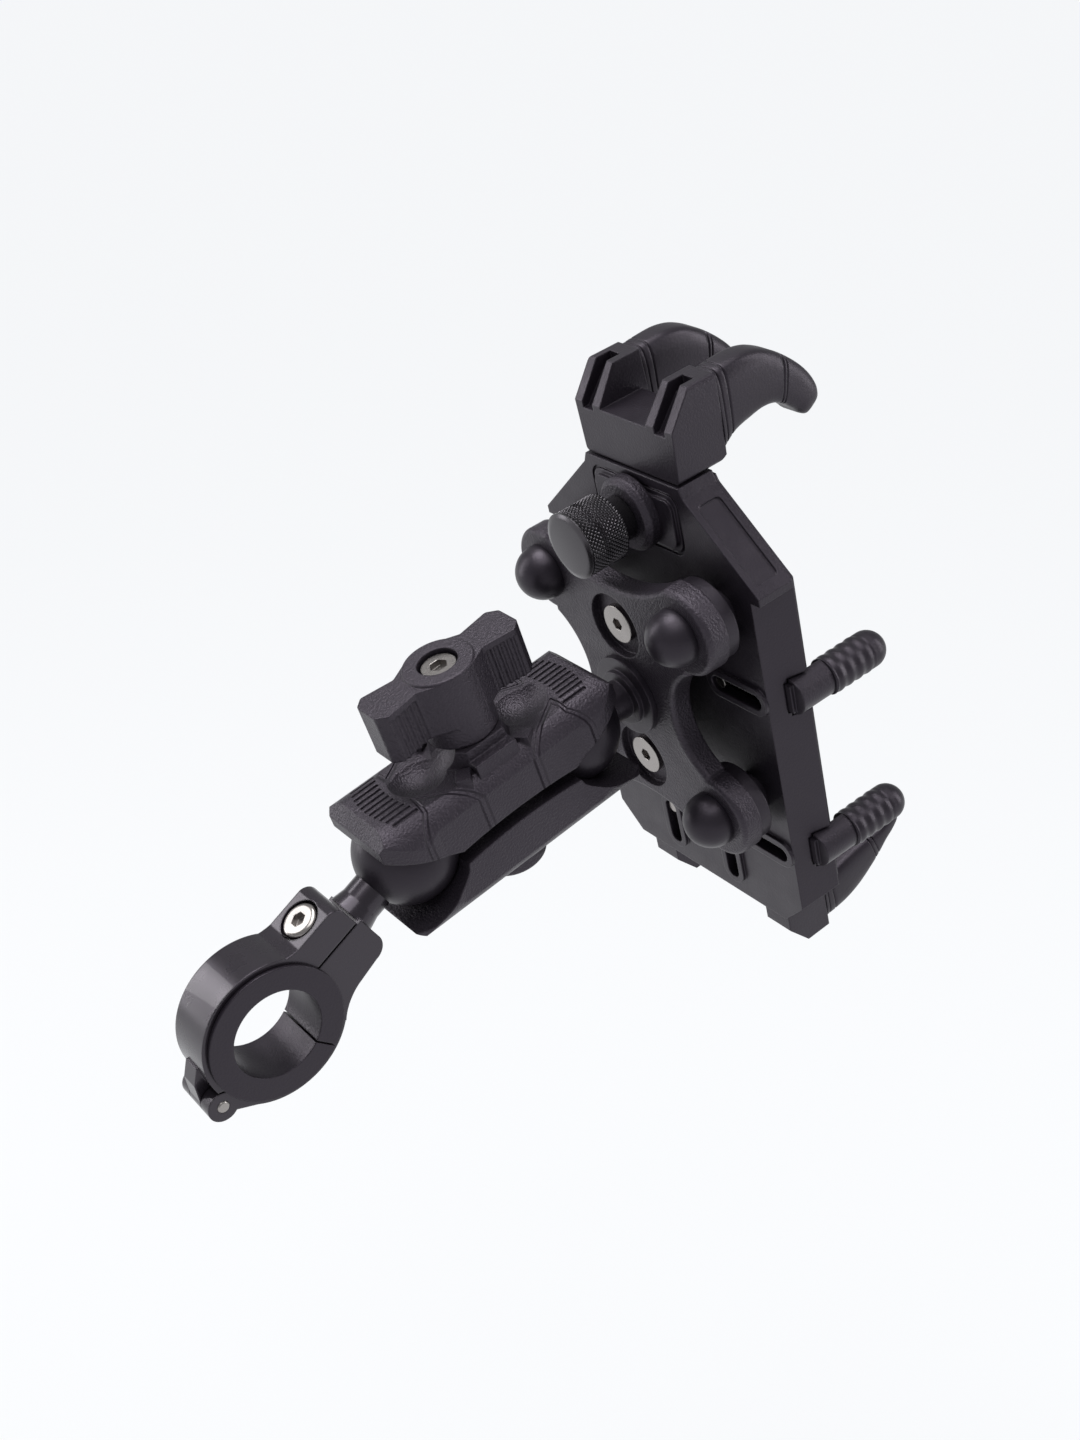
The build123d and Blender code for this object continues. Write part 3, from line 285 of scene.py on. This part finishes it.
def knurl(along, radius, turn):
    """Sinks two crossing sets of grooves into the widest part of the screw's grip."""
    if radius < 7.9 or not KNURL_FROM < along < KNURL_TO:
        return radius
    left = abs((turn * 22 / math.pi + along * KNURL_PER_MM) % 1 - 0.5)
    right = abs((turn * 22 / math.pi - along * KNURL_PER_MM) % 1 - 0.5)
    return radius - KNURL_DEPTH * (1 - min(1.0, 3.2 * min(left, right)))


profile = [(-8.5, 0.01), (-8.5, 6.6), (-8.35, 7.5), (-8.1, 7.95)]
profile += [(-8.0 + 0.2 * k, 8.3) for k in range(54)]
profile += [(3.0, 7.9), (3.2, 7.2), (3.2, 5.8), (3.6, 5.6), (7.3, 5.6), (7.55, 5.4), (7.55, 0.01)]
thumb = finish_piece("knurled_thumb_screw",
                     turned("knurl", hold(0, 0, 45.4), front, profile, 352, knurl),
                     polished, "locking_screw", 50)
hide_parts("thumb_screw")


# --- rubber post sleeves: shallow ring waves and a dome ---
def sleeve_profile():
    out = [(28.05, 3.4), (28.05, 4.5), (28.3, 4.75)]
    for k in range(46):
        y = 28.6 + 0.3 * k
        wave = 0.13 * math.cos((y - 30.0) * 2 * math.pi / 3.0) if y < 40.6 else 0
        out.append((y, 4.72 + wave))
    for k in range(1, 13):
        turn = math.pi / 2 * k / 12.5
        out.append((42.0 + 4.7 * math.sin(turn), 4.74 * math.cos(turn)))
    return out


for side, body, node in ((1, "right_arms", "right_sleeves"), (-1, "left_arms", "left_sleeves")):
    for label, z in (("upper", 3.9), ("lower", -42.5)):
        skin = turned("sleeve", hold(side * 38.7, 0, z), front, sleeve_profile(), 64)
        sleeve = finish_piece(f"{node}_{label}", skin, rubber, body, 60)
        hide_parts(node)

# --- rubber claws: a faceted finger with folded seams along it ---
def blend_points(points, t):
    """A smooth line through the points; t runs from 0 to the last point's number."""
    k = min(int(t), len(points) - 2)
    u = t - k
    p0 = points[max(k - 1, 0)]
    p1 = points[k]
    p2 = points[k + 1]
    p3 = points[min(k + 2, len(points) - 1)]
    return tuple(0.5 * (2 * b + (c - a) * u + (2 * a - 5 * b + 4 * c - d) * u * u
                        + (3 * b - a - 3 * c + d) * u ** 3)
                 for a, b, c, d in zip(p0, p1, p2, p3))


def claw(name, x0, backs, bellies, half, seams, body, node):
    """A claw whose back and belly follow two lines; seams are folds pressed into it."""
    last = len(backs) - 1
    stations = sorted(set([k * last / 44 for k in range(45)]
                          + [s + d for s in seams for d in (-0.07, -0.035, 0, 0.035, 0.07)]))
    rows = []
    for t in stations:
        back, belly = blend_points(backs, t), blend_points(bellies, t)
        top, low = hold(x0, *back), hold(x0, *belly)
        centre, tall = (top + low) / 2, (top - low)
        near = min([abs(t - s) for s in seams] + [1])
        press = 0.45 * MM if near < 0.01 else (0.12 * MM if near < 0.05 else 0)
        end = 1 - 0.2 * max(0.0, (t - last + 1.2) / 1.2) ** 2
        wide = half * MM * end - press
        high = tall.length / 2 - press
        tall = tall.normalized()
        ring = []
        for k in range(32):
            turn = 2 * math.pi * (k + 0.5) / 32
            c, s = math.cos(turn), math.sin(turn)
            power = 0.42 if s > 0 else 0.3
            ring.append(centre + across * wide * math.copysign(abs(c) ** power, c)
                        + tall * high * math.copysign(abs(s) ** 0.62, s))
        rows.append(ring)
    for shrink in (0.75, 0.3):
        ring = rows[-1]
        centre = sum(ring, Vector()) / len(ring)
        ahead = (rows[-1][0] - rows[-4][0]).normalized()
        rows.append([centre + (p - centre) * shrink + ahead * 0.35 * MM for p in ring])
    piece = finish_piece(name, grid_mesh(name, rows), rubber, body, 50)
    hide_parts(node)


jaw_back = [(27.6, 77.2), (32, 77.6), (37, 77.7), (41.5, 76.8), (45.2, 75), (48.8, 72.4),
            (52.2, 69.2), (55, 65.8), (56.9, 62), (57.4, 58.6)]
jaw_belly = [(27.6, 58.2), (31.4, 60.8), (36, 62), (40, 62.7), (43.5, 62.4), (46.3, 61),
             (48.2, 59.4), (49.8, 57.9), (51.0, 56.5), (52.6, 55.5)]
for side in (-1, 1):
    claw("jaw_claw_" + ("right" if side > 0 else "left"), side * 13, jaw_back, jaw_belly, 4.6,
         (0.35, 0.75, 4.75, 5.05), "top_jaw", "jaw_claw_covers")
foot_back = [(27.7, -78.8), (32, -78.5), (36, -77.8), (40.6, -76), (45, -73.2), (48.5, -70.4),
             (51.4, -67.6), (54, -65.6), (56, -63.4), (56.7, -61)]
foot_belly = [(27.7, -67.3), (31, -66.4), (35, -65.5), (39, -64.6), (43, -63.8), (46.5, -63.2),
              (49.5, -62.7), (51.8, -61.8), (53.4, -60.8), (54.8, -60.3)]
for side in (-1, 1):
    claw("foot_claw_" + ("right" if side > 0 else "left"), side * 22.6, foot_back, foot_belly, 4.5,
         (0.35, 0.8, 4.6, 4.95), "bottom_feet", "foot_covers")

# --- floor, light and camera ---
FLOOR_Z = -0.22
bpy.ops.mesh.primitive_plane_add(size=14, location=(0, 0, FLOOR_Z))
floor = bpy.context.object
floor.name = "floor"
pale = bpy.data.materials.new("pale_floor")
pale.use_nodes = True
pale_bsdf = pale.node_tree.nodes["Principled BSDF"]
pale_bsdf.inputs["Base Color"].default_value = (0.1, 0.1, 0.1, 1)
pale_bsdf.inputs["Roughness"].default_value = 1.0
pale_bsdf.inputs["Specular IOR Level"].default_value = 0.0
pale_bsdf.inputs["Emission Color"].default_value = (0.818, 0.829, 0.846, 1)
pale_bsdf.inputs["Emission Strength"].default_value = 1.0
floor.data.materials.append(pale)

bpy.context.scene.view_settings.view_transform = "Standard"
world = bpy.data.worlds.new("studio")
bpy.context.scene.world = world
world.use_nodes = True
world.node_tree.nodes["Background"].inputs["Color"].default_value = (0.97, 0.985, 1.0, 1)
world.node_tree.nodes["Background"].inputs["Strength"].default_value = 0.42

sun = bpy.data.lights.new("sky_panel", "SUN")
sun.energy = 1.75
sun.angle = math.radians(50)
sun_object = bpy.data.objects.new("sky_panel", sun)
bpy.context.scene.collection.objects.link(sun_object)
sun_object.rotation_euler = Vector((-0.12, 0.22, -1)).to_track_quat("-Z", "Y").to_euler()


def panel(name, place, target, width, height, power):
    """A soft rectangular light facing the target."""
    data = bpy.data.lights.new(name, "AREA")
    data.shape = "RECTANGLE"
    data.size = width
    data.size_y = height
    data.energy = power
    obj = bpy.data.objects.new(name, data)
    bpy.context.scene.collection.objects.link(obj)
    obj.location = place
    obj.rotation_euler = (Vector(target) - Vector(place)).to_track_quat("-Z", "Y").to_euler()


middle = (0, 0.08, 0.04)
panel("key", (-0.18, 0.02, 0.62), middle, 0.28, 0.28, 2.2)
panel("left_strip", (-0.5, -0.32, 0.2), middle, 0.16, 0.6, 1.6)
panel("right_strip", (0.35, 0.55, 0.30), middle, 0.16, 0.6, 1.8)

camera_data = bpy.data.cameras.new("camera")
camera_data.sensor_fit = "VERTICAL"
camera_data.sensor_height = 36
camera_data.lens = 45.46
camera_data.clip_start = 0.01
camera = bpy.data.objects.new("camera", camera_data)
bpy.context.scene.collection.objects.link(camera)
camera.location = (0.31225, -0.15006, 0.24122)
azimuth, elevation = math.radians(53.87), math.radians(25.98)
look = Vector((-math.sin(azimuth) * math.cos(elevation),
               math.cos(azimuth) * math.cos(elevation),
               -math.sin(elevation)))
camera.rotation_euler = look.to_track_quat("-Z", "Y").to_euler()
bpy.context.scene.camera = camera
